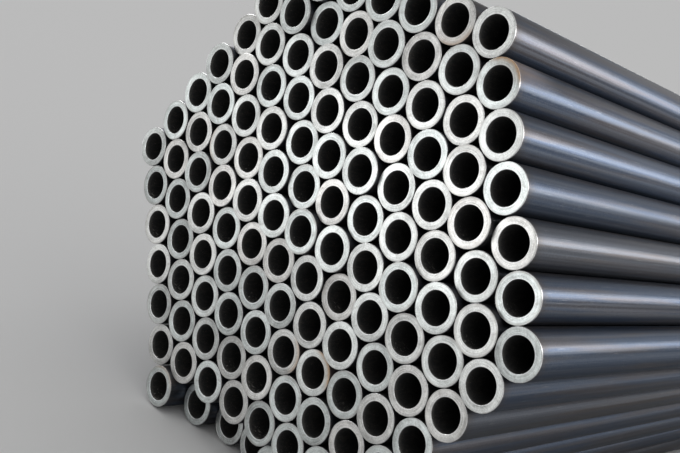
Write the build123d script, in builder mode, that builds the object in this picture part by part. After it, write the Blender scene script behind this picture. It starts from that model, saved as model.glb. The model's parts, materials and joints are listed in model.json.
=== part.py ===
"""Hexagonal bundle of plain steel pipes, held by steel straps.

The bundle lies on one flat of its hexagon. X is across the bundle, Y along the pipes and
Z up, with the floor at Z = 0. The neater ends are at -Y. All lengths are in millimetres.
"""

import os
import random
from math import sqrt

from build123d import *

# Pipe: seamless precision tube
PIPE_OUTER_DIAMETER = 32.0
PIPE_WALL = 5.0
PIPE_LENGTH = 6000.0

# Bundle: one hexagon with the same number of pipes along each of its six sides
PIPES_PER_SIDE = 7
PIPE_GAP = 0.3

# Pipe ends: each pipe lies a little before or behind the common end plane
END_SCATTER = 0.7
END_SCATTER_LIMIT = 2.0
SCATTER_SEED = 21

# Layers that stand behind the end plane, or before it where negative, keyed from the floor up
LAYER_SET_BACK = {
    2: 1.0,
    7: -2.2,
    11: 1.2,
    12: 1.5,
    13: 1.5,
}

# Single pipes that have slid, keyed by layer from the floor and place from the left
PIPE_SET_BACK = {
    (1, 1): -2.5,
    (1, 2): 12.0,
    (1, 3): 20.0,
    (1, 4): 20.0,
    (1, 5): 8.0,
    (8, 11): 2.5,
    (8, 12): 4.0,
    (9, 11): 4.0,
    (11, 1): 3.5,
    (12, 3): 4.0,
    (12, 4): 3.0,
}

# Strap: flat steel strip around the whole bundle, its ends lapped on the top flat
STRAP_COUNT = 5
STRAP_INSET = 600.0
STRAP_WIDTH = 32.0
STRAP_THICKNESS = 1.0
STRAP_CLEARANCE = 0.3
STRAP_LAP = 120.0
STRAP_LAP_RAMP = 14.0

# Seal: folded steel sleeve pressed over the lapped strap ends
SEAL_LENGTH = 57.0
SEAL_THICKNESS = 1.2
SEAL_CLEARANCE = 0.1
SEAL_BEND_RADIUS = 1.5

# Crimp: notches that the sealing tool cuts through the edges of seal and strap together
NOTCH_DEPTH = 4.5
NOTCH_SPACING = 26.0

pipe_radius = PIPE_OUTER_DIAMETER / 2
bore_radius = pipe_radius - PIPE_WALL
pitch = PIPE_OUTER_DIAMETER + PIPE_GAP
layer_rise = pitch * sqrt(3) / 2
layer_count = 2 * PIPES_PER_SIDE - 1

# The strap lies on the hexagon through the corner pipes' axes, set out by a pipe's radius
core_radius = (PIPES_PER_SIDE - 1) * pitch
core_flat = (PIPES_PER_SIDE - 1) * layer_rise
strap_inner = pipe_radius + STRAP_CLEARANCE
strap_outer = strap_inner + STRAP_THICKNESS
axis_height = core_flat + strap_outer


def pipes_in(layer):
    """Number of pipes in a layer, counted from the floor."""
    return layer_count - abs(layer - PIPES_PER_SIDE)


def end_scatter(source):
    """One pipe's own distance from the common end plane."""
    return max(-END_SCATTER_LIMIT, min(END_SCATTER_LIMIT, source.gauss(0, END_SCATTER)))


def set_backs():
    """Every pipe's distance behind the common end plane, keyed by layer and place."""
    source = random.Random(SCATTER_SEED)
    found = {}
    for layer in range(1, layer_count + 1):
        for place in range(1, pipes_in(layer) + 1):
            usual = LAYER_SET_BACK.get(layer, 0.0) + end_scatter(source)
            found[layer, place] = PIPE_SET_BACK.get((layer, place), usual)
    return found


set_back = set_backs()
end_plane = -(PIPE_LENGTH + min(set_back.values()) + max(set_back.values())) / 2

os.makedirs("parts", exist_ok=True)


# Pipes, one layer at a time from the floor up
for layer in range(1, layer_count + 1):
    layer_height = axis_height + (layer - PIPES_PER_SIDE) * layer_rise
    middle_place = (pipes_in(layer) + 1) / 2
    with BuildPart() as pipes_layer:
        for place in range(1, pipes_in(layer) + 1):
            pipe_start = end_plane + set_back[layer, place]
            with BuildSketch(Plane.XZ.offset(-pipe_start)):
                with Locations(((place - middle_place) * pitch, layer_height)):
                    Circle(pipe_radius)
                    Circle(bore_radius, mode=Mode.SUBTRACT)
            extrude(amount=-PIPE_LENGTH)
    pipes_layer.part.label = f"pipes_layer_{layer:02d}"
    export_step(pipes_layer.part, f"parts/pipes_layer_{layer:02d}.step")


# Straps with their seals, evenly spaced between the two end ones
strap_spacing = (PIPE_LENGTH - 2 * STRAP_INSET) / (STRAP_COUNT - 1)
lap_floor = core_flat + strap_outer
lap_top = lap_floor + STRAP_THICKNESS
leg_foot = core_flat + strap_inner
seal_inner_half = STRAP_WIDTH / 2 + SEAL_CLEARANCE
seal_outer_half = seal_inner_half + SEAL_THICKNESS
notch_side = NOTCH_DEPTH * sqrt(2)
notch_reach = 2 * (lap_top + SEAL_THICKNESS - leg_foot)

for number in range(1, STRAP_COUNT + 1):
    strap_middle = end_plane + STRAP_INSET + (number - 1) * strap_spacing

    strap_plane = Plane((0, strap_middle, axis_height), x_dir=(1, 0, 0), z_dir=(0, -1, 0))
    crimp_plane = Plane((0, strap_middle, axis_height + lap_top), z_dir=(0, 0, 1))
    with BuildPart() as strap:
        with BuildSketch(strap_plane):
            core = RegularPolygon(core_radius, 6, mode=Mode.PRIVATE)
            offset(core, amount=strap_outer, kind=Kind.ARC, mode=Mode.ADD)
            offset(core, amount=strap_inner, kind=Kind.ARC, mode=Mode.SUBTRACT)
            with BuildLine():
                Polyline(
                    (-STRAP_LAP / 2, lap_floor),
                    (-STRAP_LAP / 2, lap_top),
                    (STRAP_LAP / 2, lap_top),
                    (STRAP_LAP / 2 + STRAP_LAP_RAMP, lap_floor),
                    close=True,
                )
            make_face()
        extrude(amount=STRAP_WIDTH / 2, both=True)
        with BuildSketch(crimp_plane):
            with GridLocations(NOTCH_SPACING, 2 * seal_outer_half, 2, 2):
                Rectangle(notch_side, notch_side, rotation=45)
        extrude(amount=notch_reach, both=True, mode=Mode.SUBTRACT)
    strap.part.label = f"strap_{number}"
    export_step(strap.part, f"parts/strap_{number}.step")

    seal_plane = Plane((0, strap_middle, axis_height), x_dir=(0, 1, 0), z_dir=(1, 0, 0))
    with BuildPart() as seal:
        with BuildSketch(seal_plane) as seal_section:
            with BuildLine():
                Polyline(
                    (-seal_outer_half, leg_foot),
                    (-seal_outer_half, lap_top + SEAL_THICKNESS),
                    (seal_outer_half, lap_top + SEAL_THICKNESS),
                    (seal_outer_half, leg_foot),
                    (seal_inner_half, leg_foot),
                    (seal_inner_half, lap_top),
                    (-seal_inner_half, lap_top),
                    (-seal_inner_half, leg_foot),
                    close=True,
                )
            make_face()
            fillet(seal_section.vertices().group_by(Axis.Y)[-1], SEAL_BEND_RADIUS)
        extrude(amount=SEAL_LENGTH / 2, both=True)
        with BuildSketch(crimp_plane):
            with GridLocations(NOTCH_SPACING, 2 * seal_outer_half, 2, 2):
                Rectangle(notch_side, notch_side, rotation=45)
        extrude(amount=notch_reach, both=True, mode=Mode.SUBTRACT)
    seal.part.label = f"seal_{number}"
    export_step(seal.part, f"parts/seal_{number}.step")
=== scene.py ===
"""A hexagonal bundle of plain steel pipes with sawn ends, tied with steel straps.

The bundle lies on one flat of its hexagon, pipes along Y, the neater ends at -Y. Metres.
"""

import json
import math

import bmesh
import bpy
from mathutils import Matrix, Vector

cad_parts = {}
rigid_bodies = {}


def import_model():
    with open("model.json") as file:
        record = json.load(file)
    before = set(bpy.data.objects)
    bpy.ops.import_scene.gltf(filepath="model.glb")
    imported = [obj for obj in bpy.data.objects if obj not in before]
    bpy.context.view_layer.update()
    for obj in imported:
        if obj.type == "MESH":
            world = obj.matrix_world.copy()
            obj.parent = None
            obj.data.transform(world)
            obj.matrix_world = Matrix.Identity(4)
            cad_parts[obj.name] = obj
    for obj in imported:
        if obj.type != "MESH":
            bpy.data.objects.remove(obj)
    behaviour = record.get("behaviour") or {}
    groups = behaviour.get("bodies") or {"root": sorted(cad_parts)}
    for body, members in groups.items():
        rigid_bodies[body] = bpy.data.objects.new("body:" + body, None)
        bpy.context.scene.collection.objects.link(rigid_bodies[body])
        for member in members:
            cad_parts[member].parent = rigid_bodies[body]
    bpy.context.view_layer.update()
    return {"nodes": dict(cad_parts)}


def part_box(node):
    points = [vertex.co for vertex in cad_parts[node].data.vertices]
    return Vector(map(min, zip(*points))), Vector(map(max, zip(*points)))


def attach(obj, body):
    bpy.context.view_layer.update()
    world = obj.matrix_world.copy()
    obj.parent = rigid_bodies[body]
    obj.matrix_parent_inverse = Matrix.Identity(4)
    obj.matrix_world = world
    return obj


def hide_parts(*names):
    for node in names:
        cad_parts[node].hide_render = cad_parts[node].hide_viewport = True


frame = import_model()

MM = 0.001
MM_PER_METRE = 1000

# Pipe, as in the frame: outer radius, bore radius and the broken edges of the sawn ends
PIPE_RADIUS = 16.0 * MM
BORE_RADIUS = 11.0 * MM
EDGE = 0.35 * MM
EDGE_STEPS = 3
WALL_SUPPORT = 0.3 * MM
PIPE_SIDES = 64
LAYERS = 13
MIDDLE_LAYER = 7

# Corners of the frame's loose triangles that are nearer than this are one
WELD = 0.01 * MM

# Straps and seals, as in the frame, and the lift of a strap's free end
STRAP_WIDTH = 32.0 * MM
STRAP_THICKNESS = 1.0 * MM
STRAP_CLEARANCE = 0.3 * MM
STRAP_LAP = 120.0 * MM
STRAP_LAP_RAMP = 14.0 * MM
STRAP_COUNT = 5
SEAL_LENGTH = 57.0 * MM
SEAL_THICKNESS = 1.2 * MM
SEAL_BEND = 1.5 * MM
SEAL_HALF_WIDTH = 17.3 * MM
NOTCH_DEPTH = 4.5 * MM
NOTCH_SPACING = 26.0 * MM
FREE_END_LIFT = 1.6 * MM
STRAP_CORNER_STEPS = 12
SEAL_BEND_STEPS = 4
HEXAGON_TURN = math.radians(60)

# Shares of the half lap where the free end starts to lift and where it is part of the way up
LIFT_START = 0.7
LIFT_MIDDLE = 0.88
LIFT_MIDDLE_SHARE = 0.3

# Broken edges of straps and seals, and the angles past which an edge is broken or shows sharp
STRAP_EDGE = 0.22 * MM
SEAL_EDGE = 0.18 * MM
EDGE_SEGMENTS = 2
BROKEN_ANGLE = math.radians(50)
SHARP_ANGLE = math.radians(32)

# Metres by which each strap's pattern is ahead of the one before, so that no two look alike
STRAP_PATTERN_STEP = 10

# Baked map of a layer of pipes: rows of cells that hold the ends, half a cell's reach over a pipe's
# middle, and the shares of a pipe's strip that its wall and its bore take up
MAP_ROWS = 3
MAP_REACH = 17.2 * MM
MAP_EDGE = 0.002
WALL_SHARE = (0.03, 0.80)
BORE_SHARE = (0.85, 0.98)

# How far a sawn end may lean, as a slope, the size of its burr, and the seed of what differs by pipe
OUT_OF_SQUARE = 0.014
BURR = 0.30 * MM
PIPE_SEED = 4
SEEDS_PER_LAYER = 10

# Burr: grain of its ragged edge, and of the stretches where it stands out, both per metre
BURR_GRAIN = 900.0
BURR_STRETCHES = 45.0

# Sawn end: radii in millimetres where the painted highlight on the bore's lip lies, and where rust,
# dirt, wear with painted shade, and the painted highlight on the outer edge begin
LIP_HIGHLIGHT_RADIUS = 11.45
RUST_RADIUS = 14.4
DIRT_RADIUS = 15.0
WEAR_AND_SHADE_RADIUS = 15.45
EDGE_HIGHLIGHT_RADIUS = 15.72

# Wall and bore: how far in from the nearer end, in millimetres, these reach
WALL_DIRT_REACH = 6.0
WALL_SCRAPE_REACH = 0.9
WALL_RUST_REACH = 26.0
BORE_MOUTH_LIGHT_REACH = 16.0
BORE_SCRAPE_REACH = 2.2
CHIP_REACH = 12.0

# Rust on single pipes, keyed by layer from the floor and place from the left: the side of the pipe
# that it is on, as degrees from the right round to the top, and how strong it is
STAINS = {
    (12, 8): (72, 1.0),
    (13, 6): (-60, 0.55),
    (4, 7): (40, 1.0),
    (4, 6): (8, 0.6),
    (8, 3): (200, 0.3),
    (1, 1): (75, 0.3),
}

# Camera: place from the middle of the sawn ends, lens in millimetres, shift, and the frame's two sides
CAMERA_FROM_ENDS = Vector((0.4419, -0.4370, 0.1328))
CAMERA_LENS = 47.78
CAMERA_SENSOR = 36.0
CAMERA_NEAR = 0.01
CAMERA_SHIFT = (-0.1685, 0.007)
CAMERA_RIGHT = Vector((0.7272, 0.5992, 0.3349))
CAMERA_UP = Vector((-0.3599, -0.0826, 0.9293))

# Light: the floor's own grey and its reach, and the strength of the world on matt surfaces
FLOOR_GREY = 0.80
FLOOR_REACH = 400.0
WORLD_LIGHT = 0.62

# Lamps: how far aside, along or up they stand or aim, their sizes, and their brightness as seen
STRIP_ASIDE = 0.62
STRIP_ALONG = 0.25
STRIP_RISE = 0.41
STRIP_AIM_RISE = 0.36
STRIP_SIZE = (6.9, 0.22)
STRIP_BRIGHTNESS = 9.5
LOW_STRIP_ASIDE = 0.75
LOW_STRIP_HEIGHT = 0.09
LOW_STRIP_AIM_HEIGHT = 0.12
LOW_STRIP_SIZE = (6.9, 0.14)
LOW_STRIP_BRIGHTNESS = 1.4
TOP_BOX_RISE = 1.4
TOP_BOX_SIZE = (7.0, 1.3)
TOP_BOX_BRIGHTNESS = 1.4
END_BOX_ASIDE = 0.48
END_BOX_BEFORE = 0.84
END_BOX_HEIGHT = 0.12
END_BOX_SIZE = (0.74, 0.27)
END_BOX_BRIGHTNESS = 3.1


def layer_node(layer):
    """Name of a layer's node in the frame."""
    return f"pipes_layer_{layer:02d}"


def add_object(name, data):
    """A new object in the scene."""
    made = bpy.data.objects.new(name, data)
    bpy.context.scene.collection.objects.link(made)
    return made


class Amount:
    """A number socket that plain arithmetic can be written with."""

    def __init__(self, work, socket):
        self.work = work
        self.socket = socket

    def math(self, operation, *others):
        return self.work.number("ShaderNodeMath", {"operation": operation}, [self, *others])

    def __add__(self, other):
        return self.math("ADD", other)

    __radd__ = __add__

    def __sub__(self, other):
        return self.math("SUBTRACT", other)

    def __rsub__(self, other):
        return self.work.number("ShaderNodeMath", {"operation": "SUBTRACT"}, [other, self])

    def __mul__(self, other):
        return self.math("MULTIPLY", other)

    __rmul__ = __mul__

    def __truediv__(self, other):
        return self.math("DIVIDE", other)

    def above(self, edge, softness):
        """0 below the edge, 1 above it, with a soft step between."""
        return self.work.number(
            "ShaderNodeMapRange",
            {"interpolation_type": "SMOOTHSTEP"},
            {"Value": self, "From Min": edge - softness, "From Max": edge + softness},
        )

    def below(self, edge, softness):
        return 1 - self.above(edge, softness)

    def swing(self, reach):
        """This amount about its middle: up to half that reach either way."""
        return (self - 0.5) * reach


class Nodes:
    """A node tree while it is put together."""

    def __init__(self, tree):
        self.tree = tree

    def node(self, kind, settings=None, inputs=None):
        """A node of that kind: its settings first, then the values or links of its sockets."""
        made = self.tree.nodes.new(kind)
        for name, value in (settings or {}).items():
            setattr(made, name, value)
        pairs = inputs.items() if isinstance(inputs, dict) else enumerate(inputs or [])
        for key, value in pairs:
            if isinstance(value, Amount):
                value = value.socket
            if isinstance(value, bpy.types.NodeSocket):
                self.tree.links.new(value, made.inputs[key])
            elif made.inputs[key].type == "RGBA" and len(value) == 3:
                made.inputs[key].default_value = (*value, 1)
            else:
                made.inputs[key].default_value = value
        return made

    def number(self, kind, settings=None, inputs=None, output=0):
        return Amount(self, self.node(kind, settings, inputs).outputs[output])

    def parts(self, vector):
        """The three numbers of a vector."""
        made = self.node("ShaderNodeSeparateXYZ", None, [vector])
        return [Amount(self, socket) for socket in made.outputs]

    def vector(self, x, y, z):
        return self.node("ShaderNodeCombineXYZ", None, [x, y, z]).outputs[0]

    def noise(self, vector, scale=1.0, detail=3.0, roughness=0.55):
        return self.number(
            "ShaderNodeTexNoise",
            {"noise_dimensions": "3D"},
            {"Vector": vector, "Scale": scale, "Detail": detail, "Roughness": roughness},
        )


class Finish(Nodes):
    """A material while its nodes are put together."""

    def __init__(self, name):
        self.material = bpy.data.materials.new(name)
        self.material.use_nodes = True
        super().__init__(self.material.node_tree)
        self.tree.nodes.clear()

    def attribute(self, name):
        return self.node("ShaderNodeAttribute", {"attribute_name": name}).outputs

    def grey(self, level):
        return self.node("ShaderNodeCombineColor", None, [level, level, level]).outputs[0]

    def mix(self, amount, first, second, blend="MIX"):
        """One colour mixed into another."""
        made = self.node(
            "ShaderNodeMix",
            {"data_type": "RGBA", "blend_type": blend},
            {0: amount, 6: first, 7: second},
        )
        return made.outputs[2]

    def bump(self, height, strength, distance):
        inputs = {"Strength": strength, "Distance": distance, "Height": height}
        return self.node("ShaderNodeBump", None, inputs).outputs[0]

    def surface(self, **inputs):
        """Ends the material in one plain surface shader."""
        named = {name.replace("_", " "): value for name, value in inputs.items()}
        shader = self.node("ShaderNodeBsdfPrincipled", None, named)
        output = self.node("ShaderNodeOutputMaterial")
        self.tree.links.new(shader.outputs[0], output.inputs[0])
        return self.material


# Pipe finishes

def pipe_place(finish):
    """Across, along and up from the middle of the pipe's own front end, in millimetres."""
    across, along, up = finish.parts(finish.attribute("own_place")["Vector"])
    return across * MM_PER_METRE, along * MM_PER_METRE, up * MM_PER_METRE


def pipe_random(finish):
    """Three random numbers that are a pipe's own."""
    return finish.parts(finish.attribute("pipe_random")["Vector"])


def from_nearer_end(along):
    """How far in from the nearer end of the pipe, in millimetres."""
    return along.math("MINIMUM", PIPE_LENGTH / MM - along)


def rust_on_side(finish, across, up, mottle):
    """How rusty a pipe is here: strongest on the side that its stain gives."""
    right, top, strength = finish.parts(finish.attribute("stain")["Vector"])
    towards = (across * right + up * top) / (across * across + up * up).math("SQRT")
    return (towards + mottle.swing(0.9)).above(0.62, 0.28) * strength


def sawn_steel():
    """Bright sawn end: marks of the cutter round the ring, fine lines across, pits and smears, with
    painted highlights on both lips and painted shade on the outer rim.
    """
    finish = Finish("sawn_steel")
    across, along, up = pipe_place(finish)
    shade, turn, tint = pipe_random(finish)
    radius = (across * across + up * up).math("SQRT")
    apart = along * 0.013 + turn * 90

    angle = turn * (2 * math.pi)
    sideways = across * angle.math("COSINE") + up * angle.math("SINE")
    lengthways = up * angle.math("COSINE") - across * angle.math("SINE")
    arc = sideways + lengthways * lengthways * 0.004
    round_x, round_y = across / radius, up / radius
    coarse_rings = finish.vector(radius * 0.95, round_x * 0.6 + apart, round_y * 0.6)
    fine_rings = finish.vector(radius * 3.0, round_x * 1.3 + apart, round_y * 1.3)
    coarse_lines = finish.noise(coarse_rings, 1.0, 2.0, 0.6)
    ring_lines = finish.noise(fine_rings, 1.0, 2.0, 0.6)
    fine_lines = finish.noise(finish.vector(arc * 4.5, lengthways * 0.10, apart), 1.0, 3.0, 0.7)
    grain = finish.noise(finish.vector(across, apart, up), 3.5, 3.0, 0.7)
    mottle = finish.noise(finish.vector(across, apart, up), 0.95, 2.0, 0.6)
    cloud = finish.noise(finish.vector(across, apart, up), 0.13, 2.0)
    smear = finish.noise(finish.vector(sideways * 0.5, apart, lengthways * 0.12), 0.9, 3.0, 0.6)
    pitted = finish.noise(finish.vector(across, apart + 40, up), 0.10, 1.0)
    pits = finish.noise(finish.vector(across, apart, up), 1.9, 2.0, 0.6) + pitted.swing(0.35)

    # Per-pipe brightness and a slight slope across each end: partly the end's own polish, partly
    # painted reflection of how each leaning face catches the light
    level = 0.615 + shade.swing(0.19) + sideways * 0.006
    level = level + coarse_lines.swing(0.52) + ring_lines.swing(0.54) + fine_lines.swing(0.18)
    level = level + grain.swing(0.48) + mottle.swing(0.44) + cloud.swing(0.50)
    cool, warm = (0.930, 0.992, 0.978), (1.0, 0.987, 0.958)
    clean = finish.mix(tint.above(0.62, 0.45), cool, warm)
    colour = finish.mix(1.0, finish.grey(level), clean, "MULTIPLY")

    # Smear brown, rim dirt, and the grey of the dull rim, which is partly real wear and partly painted
    # shade
    smear_brown, rim_dirt, dull_and_shaded_rim_grey = (0.30, 0.275, 0.25), (0.31, 0.285, 0.255), (0.25, 0.245, 0.24)
    # Greys of the painted highlights on the outer edge and on the bore's lip, and the black of the pits
    painted_edge_highlight_grey, painted_lip_highlight_grey, pit_black = (0.76, 0.77, 0.78), (0.84, 0.85, 0.86), (0.10, 0.09, 0.085)
    colour = finish.mix(smear.above(0.63, 0.10) * 0.35, colour, smear_brown)
    dirty_rim = (radius + mottle.swing(5.0) + grain.swing(3.0)).above(DIRT_RADIUS, 1.3)
    colour = finish.mix(dirty_rim * turn.above(0.55, 0.25) * 0.45, colour, rim_dirt)
    # Dull outer rim: partly real wear, partly painted shade where neighbouring ends meet
    worn_and_shaded_rim = (radius + grain.swing(1.6)).above(WEAR_AND_SHADE_RADIUS, 0.45)
    colour = finish.mix(worn_and_shaded_rim * 0.42, colour, dull_and_shaded_rim_grey)
    # Painted highlight: a bright line along the rounded outer edge, where it would catch the light
    painted_edge_highlight = (radius + grain.swing(0.8)).above(EDGE_HIGHLIGHT_RADIUS, 0.10)
    colour = finish.mix(painted_edge_highlight * 0.5, colour, painted_edge_highlight_grey)
    # Painted highlight: a thin bright ring along the lip of the bore
    painted_lip_highlight = (radius - LIP_HIGHLIGHT_RADIUS).math("ABSOLUTE").below(0.16, 0.12)
    colour = finish.mix(painted_lip_highlight * 0.6, colour, painted_lip_highlight_grey)
    colour = finish.mix(pits.above(0.70, 0.04) * 0.7, colour, pit_black)

    rusty = rust_on_side(finish, across, up, cloud * 0.6 + grain * 0.4)
    dark_rust, light_rust = (0.26, 0.12, 0.05), (0.52, 0.36, 0.20)
    rust = finish.mix(grain.above(0.5, 0.2), dark_rust, light_rust)
    rust_rim = (radius + grain.swing(5.0) + mottle.swing(3.0)).above(RUST_RADIUS, 1.5)
    colour = finish.mix(rusty * (rust_rim * 0.75 + 0.15), colour, rust)
    relief = coarse_lines * 0.5 + ring_lines * 0.3 + fine_lines * 0.2 + mottle * 0.5 + grain * 0.2
    return finish.surface(
        Base_Color=colour,
        Metallic=0.85 - rusty * 0.6,
        Roughness=0.38 + grain.swing(0.2) + rusty * 0.3 + shade.swing(0.10),
        Normal=finish.bump(relief, 0.45, 0.04 * MM),
    )


def drawn_steel():
    """Outer wall: dark blue-grey skin with long draw streaks, brownish haze, scuffs and specks."""
    finish = Finish("drawn_steel")
    across, along, up = pipe_place(finish)
    shade, turn, tint = pipe_random(finish)
    shift = turn * 300
    from_end = from_nearer_end(along)

    streaks = finish.noise(finish.vector(across, along * 0.003 + shift, up), 0.75, 4.0, 0.65)
    bands = finish.noise(finish.vector(across * 0.6, along * 0.006 + shift, up * 0.6), 0.22, 2.0)
    haze = finish.noise(finish.vector(across, along * 0.03 + shift, up), 0.14, 3.0)
    scale = finish.noise(finish.vector(across, along * 0.7 + shift, up), 1.1, 4.0, 0.7)
    specks = finish.noise(finish.vector(across, along + shift, up), 1.7, 2.0, 0.6)
    scuffs = finish.noise(finish.vector(across * 3.0, along * 0.06 + shift, up * 3.0), 0.8, 2.0, 0.5)

    dark_blue, light_blue, grey = (0.040, 0.056, 0.088), (0.058, 0.075, 0.110), (0.078, 0.077, 0.080)
    own = finish.mix(shade, dark_blue, light_blue)
    own = finish.mix(tint.above(0.76, 0.08) * 0.7, own, grey)
    brown_haze, dark_band = (0.090, 0.075, 0.068), (0.042, 0.050, 0.068)
    colour = finish.mix(haze.above(0.53, 0.10) * 0.65, own, brown_haze)
    colour = finish.mix(bands.above(0.56, 0.12) * 0.4, colour, dark_band)
    streak_grey, scale_grey = (0.142, 0.157, 0.182), (0.163, 0.168, 0.174)
    colour = finish.mix((streaks - 0.42) * 1.8, colour, streak_grey)
    colour = finish.mix((scale - 0.47) * 1.5, colour, scale_grey)
    speck_black, scuffed = (0.045, 0.042, 0.042), (0.38, 0.385, 0.39)
    colour = finish.mix(specks.above(0.665, 0.03) * 0.6, colour, speck_black)
    colour = finish.mix(scuffs.above(0.72, 0.03) * 0.3, colour, scuffed)

    dirt, grime_brown, bare, rust = (
        (0.060, 0.056, 0.054), (0.115, 0.095, 0.080), (0.42, 0.41, 0.40), (0.115, 0.070, 0.045)
    )
    dirty = from_end.below(WALL_DIRT_REACH, 6.0)
    grime = (scale + dirty * 0.14).above(0.60, 0.05)
    colour = finish.mix(dirty * (0.2 + haze * 0.3), colour, dirt)
    colour = finish.mix(grime * dirty * 0.3, colour, grime_brown)
    scraped = (from_end + scale.swing(3.0)).below(WALL_SCRAPE_REACH, 0.5)
    colour = finish.mix(scraped * 0.5, colour, bare)
    rusty = rust_on_side(finish, across, up, haze * 0.5 + scale * 0.5)
    rusty = rusty * from_end.below(WALL_RUST_REACH, 24.0)
    colour = finish.mix(rusty * 0.4, colour, rust)
    return finish.surface(
        Base_Color=colour,
        Metallic=0.9 - rusty * 0.6,
        Roughness=0.36 + scale.swing(0.16) + streaks.swing(0.28) + dirty * 0.04 + rusty * 0.3,
        Specular_Tint=(0.5, 0.5, 0.5),
        Normal=finish.bump(scale * 0.3 + streaks * 0.9, 0.16, 0.05 * MM),
    )


def bore_steel():
    """Bore: near-black scale, with painted shade deeper in and painted light and dust at the mouths,
    and saw chips in the bottom of some.
    """
    finish = Finish("bore_steel")
    across, along, up = pipe_place(finish)
    _, turn, _ = pipe_random(finish)
    from_end = from_nearer_end(along)
    dust = finish.noise(finish.vector(across, along * 0.3 + turn * 200, up), 0.7, 4.0, 0.7)
    crumbs = finish.noise(finish.vector(across, along + turn * 200, up), 1.4, 1.0, 0.5)
    # Painted light over the first 16 mm of the bore and painted shade deeper in; the same mask also
    # keeps the dust to the mouth
    mouth_light_and_dust = from_end.below(BORE_MOUTH_LIGHT_REACH, 16.0)
    scraped = (from_end + dust.swing(4.0)).below(BORE_SCRAPE_REACH, 1.6)
    # Near-black scale darkened as painted shade, the painted light grey of the mouths, and bare steel
    scale_with_painted_shade, painted_mouth_light_grey, bare = (0.012, 0.012, 0.013), (0.040, 0.041, 0.042), (0.120, 0.118, 0.114)
    dust_grey, crumb, chip = (0.085, 0.078, 0.070), (0.26, 0.22, 0.18), (0.42, 0.40, 0.37)
    colour = finish.mix(mouth_light_and_dust, scale_with_painted_shade, painted_mouth_light_grey)
    colour = finish.mix(scraped * 0.8, colour, bare)
    colour = finish.mix(dust.above(0.56, 0.12) * mouth_light_and_dust * 0.7, colour, dust_grey)
    colour = finish.mix(crumbs.above(0.725, 0.02) * 0.8, colour, crumb)
    swarf = finish.noise(finish.vector(across, along + turn * 90, up), 0.42, 4.0, 0.75)
    bottom = (up * (MM / BORE_RADIUS)).below(-0.70, 0.20)
    swept_in = bottom * from_end.below(CHIP_REACH, 6.0) * turn.above(0.74, 0.04)
    colour = finish.mix(swarf.above(0.600, 0.02) * swept_in * 0.9, colour, chip)
    return finish.surface(Base_Color=colour, Metallic=0.35, Roughness=0.50 - dust * 0.1)


# Strap finishes

def strip_place(finish):
    """Along and across the strip, in millimetres."""
    along, across, _ = finish.parts(finish.attribute("strip_place")["Vector"])
    return along * MM_PER_METRE, across * MM_PER_METRE


def zinc_strap():
    """Zinc-coated strip: rubbed slit edges, long scratches, dull patches and a little white rust."""
    finish = Finish("zinc_strap")
    along, across = strip_place(finish)
    patches = finish.noise(finish.vector(along * 0.045, across * 0.12, 0), 1.0, 4.0, 0.6)
    streaks = finish.noise(finish.vector(along * 0.012, across * 1.6, 0), 1.0, 3.0, 0.6)
    bloom = finish.noise(finish.vector(along * 0.03, across * 0.07, 5), 1.0, 3.0, 0.7)
    grit = finish.noise(finish.vector(along, across, 0), 0.8, 4.0, 0.7)
    level = 0.24 + patches.swing(0.20) + streaks.swing(0.18) + grit.swing(0.08)
    zinc, scratch, white_rust, rubbed = (
        (0.95, 0.98, 1.0), (0.11, 0.11, 0.115), (0.50, 0.50, 0.48), (0.52, 0.52, 0.53)
    )
    colour = finish.mix(1.0, finish.grey(level), zinc, "MULTIPLY")
    colour = finish.mix(streaks.above(0.66, 0.03) * 0.5, colour, scratch)
    colour = finish.mix((bloom + grit * 0.2).above(0.72, 0.06) * 0.4, colour, white_rust)
    edges = (across.math("ABSOLUTE") + grit.swing(1.6)).above(15.5, 0.4)
    colour = finish.mix(edges * 0.6, colour, rubbed)
    return finish.surface(
        Base_Color=colour,
        Metallic=0.85,
        Roughness=0.58 + patches * 0.14 + grit * 0.06,
        Normal=finish.bump(patches * 0.4 + streaks * 0.4 + grit * 0.2, 0.2, 0.08 * MM),
    )


def zinc_seal():
    """Dull zinc with a faint spangle, rubbed bright by the sealing tool round the notches."""
    finish = Finish("zinc_seal")
    along, across = strip_place(finish)
    spot = finish.vector(along, across, 0)
    cells = finish.node("ShaderNodeTexVoronoi", None, {"Vector": spot, "Scale": 0.42})
    spangle = finish.parts(cells.outputs["Color"])[0]
    grit = finish.noise(spot, 0.7, 4.0, 0.7)
    from_notch = (along.math("ABSOLUTE") - NOTCH_SPACING / MM / 2).math("ABSOLUTE")
    pressed = (from_notch + grit.swing(4)).below(4.0, 2.0) * across.math("ABSOLUTE").above(9.0, 4.0)
    level = 0.29 + spangle * 0.12 + grit.swing(0.14)
    bright_zinc = (0.50, 0.50, 0.51)
    colour = finish.mix(pressed * 0.6, finish.grey(level), bright_zinc)
    return finish.surface(
        Base_Color=colour,
        Metallic=0.9,
        Roughness=0.47 + spangle * 0.10 - pressed * 0.12,
        Normal=finish.bump(grit, 0.15, 0.08 * MM),
    )


# Pipes

ZONES = ("wall", "end", "bore")


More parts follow.
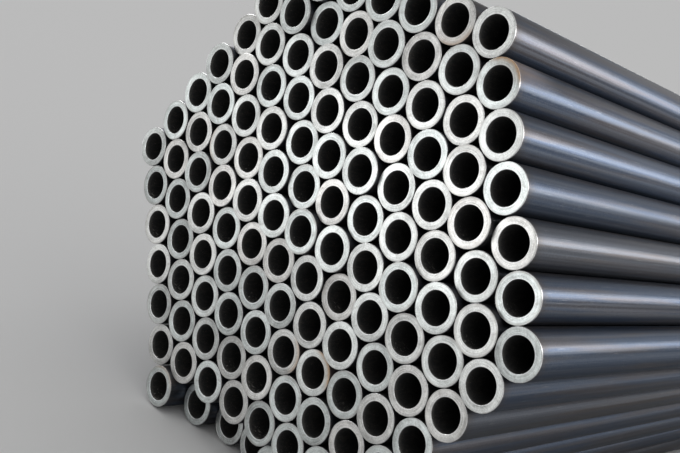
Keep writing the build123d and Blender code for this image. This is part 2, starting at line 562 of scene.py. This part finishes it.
def pipe_section():
    """The wall's closed outline as (radius, distance along, zone of the next stretch)."""
    def end_outline(place):
        outline = [(BORE_RADIUS, EDGE + WALL_SUPPORT, "bore")]
        for step in range(EDGE_STEPS + 1):
            turn = math.pi / 2 * step / EDGE_STEPS
            radius, along = BORE_RADIUS + EDGE * (1 - math.cos(turn)), EDGE * (1 - math.sin(turn))
            outline.append((radius, along, "end"))
        for step in range(EDGE_STEPS + 1):
            turn = math.pi / 2 * step / EDGE_STEPS
            zone = "end" if step < EDGE_STEPS else "wall"
            radius, along = PIPE_RADIUS - EDGE * (1 - math.sin(turn)), EDGE * (1 - math.cos(turn))
            outline.append((radius, along, zone))
        outline.append((PIPE_RADIUS, EDGE + WALL_SUPPORT, "wall"))
        return [(radius, place(along), zone) for radius, along, zone in outline]

    front = end_outline(lambda along: along)
    back = end_outline(lambda along: PIPE_LENGTH - along)
    back_zones = [zone for _, _, zone in back]
    turned = [
        (radius, along, back_zones[index - 1] if index else "bore")
        for index, (radius, along, _) in reversed(list(enumerate(back)))
    ]
    return front + turned


def pipe_mesh():
    """One pipe from its section, with its zones and own place kept on the mesh."""
    section = pipe_section()
    shape = bmesh.new()
    own_place = shape.verts.layers.float_vector.new("own_place")
    zone_of = shape.faces.layers.int.new("zone")
    rings = []
    for side in range(PIPE_SIDES):
        turn = 2 * math.pi * side / PIPE_SIDES
        ring = []
        for radius, along, _ in section:
            vertex = shape.verts.new((radius * math.cos(turn), along, radius * math.sin(turn)))
            vertex[own_place] = vertex.co
            ring.append(vertex)
        rings.append(ring)
    for side, ring in enumerate(rings):
        following = rings[(side + 1) % PIPE_SIDES]
        for index, (_, along, zone) in enumerate(section):
            after = (index + 1) % len(section)
            face = shape.faces.new((ring[index], ring[after], following[after], following[index]))
            face[zone_of] = ZONES.index(zone)
            face.smooth = section[after][1] != along
    bmesh.ops.recalc_face_normals(shape, faces=shape.faces)
    mesh = bpy.data.meshes.new("one_pipe")
    shape.to_mesh(mesh)
    shape.free()
    return mesh


def lay_out_pipes(mesh, count):
    """Lays a layer of pipes out on one square map: ends as discs above, walls and bores as strips.

    The ends get far more of the map than their share of the surface, so that a bake keeps them sharp.
    """
    section = pipe_section()
    points = len(section)
    wall, bore = points // 2 - 1, points - 1
    columns = math.ceil(2 * count / MAP_ROWS)
    cell = 1 / columns
    strip = (1 - MAP_ROWS * cell) / count
    layout = mesh.uv_layers.new(name="OFBake").uv
    for face in mesh.polygons:
        pipe, own_face = divmod(face.index, PIPE_SIDES * points)
        side, stretch = divmod(own_face, points)
        for loop in face.loop_indices:
            turn, point = divmod(mesh.loops[loop].vertex_index % (PIPE_SIDES * points), points)
            radius, along, _ = section[point]
            if stretch in (wall, bore):
                low, high = WALL_SHARE if stretch == wall else BORE_SHARE
                share = (side + (turn != side)) / PIPE_SIDES
                across = MAP_EDGE + along / PIPE_LENGTH * (1 - 2 * MAP_EDGE)
                layout[loop].vector = (across, (pipe + low + (high - low) * share) * strip)
                continue
            at_back = along > PIPE_LENGTH / 2
            depth = PIPE_LENGTH - along if at_back else along
            unrolled = radius + depth if radius > (BORE_RADIUS + PIPE_RADIUS) / 2 else radius - depth
            reach = unrolled / MAP_REACH * cell / 2
            angle = 2 * math.pi * turn / PIPE_SIDES
            row, column = divmod(2 * pipe + at_back, columns)
            layout[loop].vector = (
                (column + 0.5) * cell + reach * math.cos(angle) * (-1 if at_back else 1),
                1 - (row + 0.5) * cell + reach * math.sin(angle),
            )


def pipe_boxes(node):
    """Lowest and highest corner of each pipe in a layer, from left to right."""
    shape = bmesh.new()
    shape.from_mesh(frame["nodes"][node].data)
    bmesh.ops.remove_doubles(shape, verts=shape.verts, dist=WELD)
    unseen = set(shape.verts)
    boxes = []
    while unseen:
        front = [unseen.pop()]
        low, high = front[0].co.copy(), front[0].co.copy()
        while front:
            vertex = front.pop()
            low = Vector(map(min, low, vertex.co))
            high = Vector(map(max, high, vertex.co))
            for edge in vertex.link_edges:
                other = edge.other_vert(vertex)
                if other in unseen:
                    unseen.remove(other)
                    front.append(other)
        boxes.append((low, high))
    shape.free()
    return sorted(boxes, key=lambda box: box[0].x)


def pipes_tree():
    """Node tree that sets one pipe on every point of a layer and gives each its own cut and burr."""
    tree = bpy.data.node_groups.new("pipes_of_a_layer", "GeometryNodeTree")
    tree.is_modifier = True
    for name, kind in (
        ("Places", "NodeSocketGeometry"),
        ("Pipe", "NodeSocketObject"),
        ("Pipe Length", "NodeSocketFloat"),
        ("Out Of Square", "NodeSocketFloat"),
        ("Burr", "NodeSocketFloat"),
        ("Seed", "NodeSocketInt"),
        ("Wall Finish", "NodeSocketMaterial"),
        ("End Finish", "NodeSocketMaterial"),
        ("Bore Finish", "NodeSocketMaterial"),
    ):
        tree.interface.new_socket(name, in_out="INPUT", socket_type=kind)
    tree.interface.new_socket("Pipes", in_out="OUTPUT", socket_type="NodeSocketGeometry")
    work = Nodes(tree)
    given = work.node("NodeGroupInput").outputs

    def with_random(geometry, name, low, high, seed):
        """The points with a random vector kept on each."""
        settings = {"data_type": "FLOAT_VECTOR"}
        inputs = {0: low, 1: high, "Seed": seed}
        value = work.node("FunctionNodeRandomValue", settings, inputs).outputs[0]
        settings = {"data_type": "FLOAT_VECTOR", "domain": "POINT"}
        inputs = {"Geometry": geometry, "Name": name, "Value": value}
        return work.node("GeometryNodeStoreNamedAttribute", settings, inputs).outputs[0]

    def named(name, kind="FLOAT_VECTOR"):
        settings, inputs = {"data_type": kind}, {"Name": name}
        return work.node("GeometryNodeInputNamedAttribute", settings, inputs).outputs[0]

    seed = Amount(work, given["Seed"])
    places = with_random(given["Places"], "pipe_random", (0, 0, 0), (1, 1, 1), seed)
    places = with_random(places, "lean", (-1, 0, -1), (1, 0, 1), seed + 1)
    settings, inputs = {"transform_space": "ORIGINAL"}, {"Object": given["Pipe"]}
    pipe = work.node("GeometryNodeObjectInfo", settings, inputs)
    inputs = {"Points": places, "Instance": pipe.outputs["Geometry"]}
    set_down = work.node("GeometryNodeInstanceOnPoints", None, inputs).outputs[0]
    pipes = work.node("GeometryNodeRealizeInstances", None, {"Geometry": set_down}).outputs[0]

    across, along, up = work.parts(named("own_place"))
    lean_across, _, lean_up = work.parts(named("lean"))
    slope = (across * lean_across + up * lean_up) * Amount(work, given["Out Of Square"])

    shade, turn, _ = work.parts(named("pipe_random"))
    radius = (across * across + up * up).math("SQRT")
    from_middle = along - Amount(work, given["Pipe Length"]) * 0.5
    outwards = from_middle.math("SIGN")
    from_end = Amount(work, given["Pipe Length"]) * 0.5 - from_middle.math("ABSOLUTE")
    on_rim = radius.above(PIPE_RADIUS - EDGE * 0.7, EDGE * 0.3) * from_end.below(EDGE * 1.2, EDGE * 0.1)
    rough = work.noise(work.vector(across, along * 0.01 + turn * 0.1, up), BURR_GRAIN, 2.0, 0.6) - 0.5
    stretch_place = work.vector(across, along * 0.01 + shade * 0.1, up)
    one_sided = work.noise(stretch_place, BURR_STRETCHES, 0.0) - 0.42
    burr = on_rim * Amount(work, given["Burr"])
    swell = rough * burr * 1.4 / radius
    lip = outwards * burr * (rough * 0.8 + one_sided * 2.5).math("MAXIMUM", -0.3)
    offset = work.vector(across * swell, slope + lip, up * swell)
    pipes = work.node("GeometryNodeSetPosition", None, {"Geometry": pipes, "Offset": offset}).outputs[0]

    for index, name in enumerate(("Wall Finish", "End Finish", "Bore Finish")):
        same = {"data_type": "INT", "operation": "EQUAL"}
        chosen = work.node("FunctionNodeCompare", same, {2: named("zone", "INT"), 3: index}).outputs[0]
        inputs = {"Geometry": pipes, "Selection": chosen, "Material": given[name]}
        pipes = work.node("GeometryNodeSetMaterial", None, inputs).outputs[0]
    work.node("NodeGroupOutput", None, [pipes])
    return tree


def set_inputs(modifier, values):
    """Sets a node modifier's inputs by the identifiers behind their names."""
    for item in modifier.node_group.interface.items_tree:
        if item.in_out == "INPUT" and item.name in values:
            modifier[item.identifier] = values[item.name]


def as_plain_mesh(maker, name):
    """The finished mesh of an object with modifiers, as a new object; the maker is removed."""
    bpy.context.view_layer.update()
    evaluated = maker.evaluated_get(bpy.context.evaluated_depsgraph_get())
    mesh = bpy.data.meshes.new_from_object(evaluated)
    mesh.name = name
    made = add_object(name, mesh)
    bpy.data.objects.remove(maker)
    return made


def add_pipes(boxes, finishes):
    """All layers of pipes, each in the place of its node."""
    tree = pipes_tree()
    master = add_object("one_pipe", pipe_mesh())
    for layer in range(1, LAYERS + 1):
        node = layer_node(layer)
        places = [((low.x + high.x) / 2, low.y, (low.z + high.z) / 2) for low, high in boxes[layer]]
        points = bpy.data.meshes.new("places")
        points.from_pydata(places, [], [])
        stains = points.attributes.new("stain", "FLOAT_VECTOR", "POINT")
        for place, mark in enumerate(stains.data, 1):
            side, strength = STAINS.get((layer, place), (0, 0))
            side = math.radians(side)
            mark.vector = (math.cos(side), math.sin(side), strength)
        maker = add_object("places", points)
        modifier = maker.modifiers.new("pipes", "NODES")
        modifier.node_group = tree
        set_inputs(modifier, {
            "Pipe": master,
            "Pipe Length": PIPE_LENGTH,
            "Out Of Square": OUT_OF_SQUARE,
            "Burr": BURR,
            "Seed": PIPE_SEED + SEEDS_PER_LAYER * layer,
            "Wall Finish": finishes["wall"],
            "End Finish": finishes["end"],
            "Bore Finish": finishes["bore"],
        })
        pipes = as_plain_mesh(maker, f"layer_{layer:02d}_pipes")
        lay_out_pipes(pipes.data, len(places))
        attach(pipes, "root")
        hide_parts(node)
    bpy.data.objects.remove(master)


# Straps and seals

def beside_notch(place):
    """How far a place along the joint is from the middle of the nearest notch."""
    return abs(abs(place) - NOTCH_SPACING / 2)


def half_width(place, full):
    """Half the width left between the notches at this place along the joint."""
    return min(full, SEAL_HALF_WIDTH - NOTCH_DEPTH + beside_notch(place))


def notch_breaks(full):
    """The places along the joint where its edge turns, from left to right."""
    reach = full - SEAL_HALF_WIDTH + NOTCH_DEPTH
    return [side * NOTCH_SPACING / 2 + step for side in (-1, 1) for step in (-reach, 0, reach)]


def strap_line(core_radius):
    """Mid line of a strap from its covered end, round the bundle and over itself to its free end.

    Each point is (across, up from the bundle's axis, half width).
    """
    out = PIPE_RADIUS + STRAP_CLEARANCE + STRAP_THICKNESS / 2
    level = core_radius * math.sqrt(3) / 2 + out
    full = STRAP_WIDTH / 2
    lap = STRAP_LAP / 2
    breaks = list(reversed(notch_breaks(full)))
    line = [(place, level, half_width(place, full)) for place in (lap, *breaks)]
    for corner in range(2, 8):
        middle = HEXAGON_TURN * corner
        for step in range(STRAP_CORNER_STEPS + 1):
            turn = middle + HEXAGON_TURN * (step / STRAP_CORNER_STEPS - 0.5)
            across = core_radius * math.cos(middle) + out * math.cos(turn)
            up = core_radius * math.sin(middle) + out * math.sin(turn)
            line.append((across, up, full))
    line.append((lap + STRAP_LAP_RAMP, level, full))
    level += STRAP_THICKNESS
    line += [(place, level, half_width(place, full)) for place in (lap, *breaks, -lap * LIFT_START)]
    line.append((-lap * LIFT_MIDDLE, level + FREE_END_LIFT * LIFT_MIDDLE_SHARE, full))
    line.append((-lap, level + FREE_END_LIFT, full))
    return line


def sheet_of(name, rows, places):
    """An open sheet from rows of points, with its own running measures kept on it."""
    shape = bmesh.new()
    own_measures = shape.verts.layers.float_vector.new("strip_place")
    grid = []
    for row, measures in zip(rows, places):
        grid.append([])
        for point, measure in zip(row, measures):
            vertex = shape.verts.new(point)
            vertex[own_measures] = (*measure, 0)
            grid[-1].append(vertex)
    for row, after in zip(grid, grid[1:]):
        for index in range(len(row) - 1):
            shape.faces.new((row[index], row[index + 1], after[index + 1], after[index]))
    mesh = bpy.data.meshes.new(name)
    shape.to_mesh(mesh)
    shape.free()
    return add_object(name, mesh)


def thickened(sheet, thickness, offset, bevel, finish, name):
    """The sheet with its real thickness and broken edges, as a plain mesh with one finish."""
    solid = sheet.modifiers.new("thickness", "SOLIDIFY")
    solid.thickness = thickness
    solid.offset = offset
    edges = sheet.modifiers.new("edges", "BEVEL")
    edges.width = bevel
    edges.segments = EDGE_SEGMENTS
    edges.limit_method = "ANGLE"
    edges.angle_limit = BROKEN_ANGLE
    made = as_plain_mesh(sheet, name)
    made.data.materials.append(finish)
    made.data.shade_smooth()
    made.data.set_sharp_from_angle(angle=SHARP_ANGLE)
    return made


def add_strap(number, core_radius, axis_height, finish):
    """One strap, swept round the bundle in the place of its node."""
    node = f"strap_{number}"
    low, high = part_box(node)
    middle = (low[1] + high[1]) / 2
    line = strap_line(core_radius)
    rows, places = [], []
    run = 0.0
    for index, (across, up, half) in enumerate(line):
        if index:
            run += math.dist((across, up), line[index - 1][:2])
        ends = (-half, half)
        rows.append([(across, middle + end, axis_height + up) for end in ends])
        places.append([(run + number * STRAP_PATTERN_STEP, end) for end in ends])
    sheet = sheet_of("strap", rows, places)
    strap = thickened(sheet, STRAP_THICKNESS, 0.0, STRAP_EDGE, finish, f"strap_{number}_band")
    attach(strap, "root")
    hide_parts(node)


def seal_row(place, foot, top):
    """Outer face of a seal across the strap at one place: up one leg, over and down the other."""
    half = half_width(place, SEAL_HALF_WIDTH)
    bend = min(SEAL_BEND, top - foot)
    row = [(-half, foot)]
    for side in (-1, 1):
        for step in range(SEAL_BEND_STEPS + 1):
            share = step / SEAL_BEND_STEPS if side < 0 else 1 - step / SEAL_BEND_STEPS
            turn = math.pi / 2 * share
            across = half - bend + bend * math.cos(turn)
            row.append((side * across, top - bend + bend * math.sin(turn)))
    return row + [(half, foot)]


def add_seal(number, finish):
    """One seal, bent over the lapped strap and pinched at its notches, in the place of its node."""
    node = f"seal_{number}"
    low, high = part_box(node)
    middle = (low[1] + high[1]) / 2
    breaks = [-SEAL_LENGTH / 2, *notch_breaks(SEAL_HALF_WIDTH), SEAL_LENGTH / 2]
    rows, places = [], []
    for place in reversed(breaks):
        row = seal_row(place, low[2], high[2])
        rows.append([(place, middle + across, up) for across, up in row])
        run, measures = -SEAL_HALF_WIDTH - (high[2] - low[2]), []
        for index, point in enumerate(row):
            if index:
                run += math.dist(point, row[index - 1])
            measures.append((place, run))
        places.append(measures)
    sheet = sheet_of("seal", rows, places)
    seal = thickened(sheet, SEAL_THICKNESS, -1.0, SEAL_EDGE, finish, f"seal_{number}_sleeve")
    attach(seal, "root")
    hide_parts(node)


def add_straps(corner_box, axis_height):
    """All straps and their seals, round the hexagon that has this pipe at a corner."""
    core_radius = (corner_box[0].x + corner_box[1].x) / 2
    strap, seal = zinc_strap(), zinc_seal()
    for number in range(1, STRAP_COUNT + 1):
        add_strap(number, core_radius, axis_height, strap)
        add_seal(number, seal)


# Setting

def add_floor():
    """Plain pale floor that runs out of sight."""
    finish = Finish("pale_floor")
    grey = (FLOOR_GREY, FLOOR_GREY, FLOOR_GREY)
    finish.surface(Base_Color=grey, Roughness=1.0, Specular_IOR_Level=0.0)
    mesh = bpy.data.meshes.new("floor")
    corners = [(FLOOR_REACH * x, FLOOR_REACH * y, 0) for x, y in ((-1, -1), (1, -1), (1, 1), (-1, 1))]
    mesh.from_pydata(corners, [], [(0, 1, 2, 3)])
    mesh.materials.append(finish.material)
    floor = add_object("floor", mesh)


def add_world():
    """Soft even light. The camera and reflections see it as the far floor's grey, with no horizon."""
    world = bpy.data.worlds.new("studio")
    bpy.context.scene.world = world
    world.use_nodes = True
    world.node_tree.nodes.clear()
    work = Nodes(world.node_tree)
    white = (1, 1, 1)
    light = work.node("ShaderNodeBackground", None, [white, WORLD_LIGHT])
    seen = work.node("ShaderNodeBackground", None, [white, WORLD_LIGHT * FLOOR_GREY])
    path = work.node("ShaderNodeLightPath").outputs
    rays = [Amount(work, path[f"Is {kind} Ray"]) for kind in ("Camera", "Glossy", "Transmission")]
    direct = rays[0].math("MAXIMUM", rays[1]).math("MAXIMUM", rays[2])
    mix = work.node("ShaderNodeMixShader", None, [direct, light.outputs[0], seen.outputs[0]])
    work.node("ShaderNodeOutputWorld", None, [mix.outputs[0]])


def add_light(name, place, target, size, brightness, lit):
    """A soft rectangular lamp on the bundle alone; its brightness is given as seen, so 1 is white."""
    light = bpy.data.lights.new(name, "AREA")
    light.shape = "RECTANGLE"
    light.size, light.size_y = size
    light.energy = brightness * math.pi * size[0] * size[1]
    lamp = add_object(name, light)
    lamp.location = place
    direction = Vector(target) - Vector(place)
    lamp.rotation_euler = direction.to_track_quat("-Z", "Y").to_euler()
    lamp.visible_camera = False
    lamp.light_linking.receiver_collection = lit


def add_lights(ends_middle):
    """Two strips along each flank, a wide box above, and a low box before each set of ends."""
    lit = bpy.data.collections.new("lit_by_lamps")
    for piece in bpy.data.objects:
        if piece.type == "MESH" and piece.name != "floor":
            lit.objects.link(piece)
    height = ends_middle.z
    for name, side in (("right_strip", 1), ("left_strip", -1)):
        place = (side * STRIP_ASIDE, STRIP_ALONG, height + STRIP_RISE)
        target = (0, STRIP_ALONG, height + STRIP_AIM_RISE)
        add_light(name, place, target, STRIP_SIZE, STRIP_BRIGHTNESS, lit)
        place = (side * LOW_STRIP_ASIDE, STRIP_ALONG, LOW_STRIP_HEIGHT)
        target = (0, STRIP_ALONG, LOW_STRIP_AIM_HEIGHT)
        add_light(f"low_{name}", place, target, LOW_STRIP_SIZE, LOW_STRIP_BRIGHTNESS, lit)
    place = (0, 0, height + TOP_BOX_RISE)
    add_light("top_box", place, (0, 0, height), TOP_BOX_SIZE, TOP_BOX_BRIGHTNESS, lit)
    for name, end in (("front_box", 1), ("back_box", -1)):
        place = (-END_BOX_ASIDE * end, (ends_middle.y - END_BOX_BEFORE) * end, END_BOX_HEIGHT)
        target = (0, ends_middle.y * end, height)
        add_light(name, place, target, END_BOX_SIZE, END_BOX_BRIGHTNESS, lit)


def add_camera(ends_middle):
    """The photograph's camera, turned with the bundle."""
    camera_data = bpy.data.cameras.new("camera")
    camera_data.lens = CAMERA_LENS
    camera_data.sensor_width = CAMERA_SENSOR
    camera_data.shift_x, camera_data.shift_y = CAMERA_SHIFT
    camera_data.clip_start = CAMERA_NEAR
    camera = add_object("camera", camera_data)
    right, up = CAMERA_RIGHT.normalized(), CAMERA_UP.normalized()
    back = right.cross(up).normalized()
    up = back.cross(right)
    turn = Matrix((right, up, back)).transposed()
    camera.matrix_world = Matrix.Translation(ends_middle + CAMERA_FROM_ENDS) @ turn.to_4x4()
    bpy.context.scene.camera = camera


boxes = {layer: pipe_boxes(layer_node(layer)) for layer in range(1, LAYERS + 1)}
corner_low, corner_high = boxes[MIDDLE_LAYER][0]
PIPE_LENGTH = corner_high.y - corner_low.y
starts = sorted(low.y for layer_boxes in boxes.values() for low, _ in layer_boxes)
ends_middle = Vector((0, starts[len(starts) // 2], (corner_low.z + corner_high.z) / 2))

add_camera(ends_middle)
add_pipes(boxes, {"wall": drawn_steel(), "end": sawn_steel(), "bore": bore_steel()})
add_straps(boxes[MIDDLE_LAYER][-1], ends_middle.z)
add_floor()
add_world()
add_lights(ends_middle)
bpy.context.scene.view_settings.view_transform = "Standard"
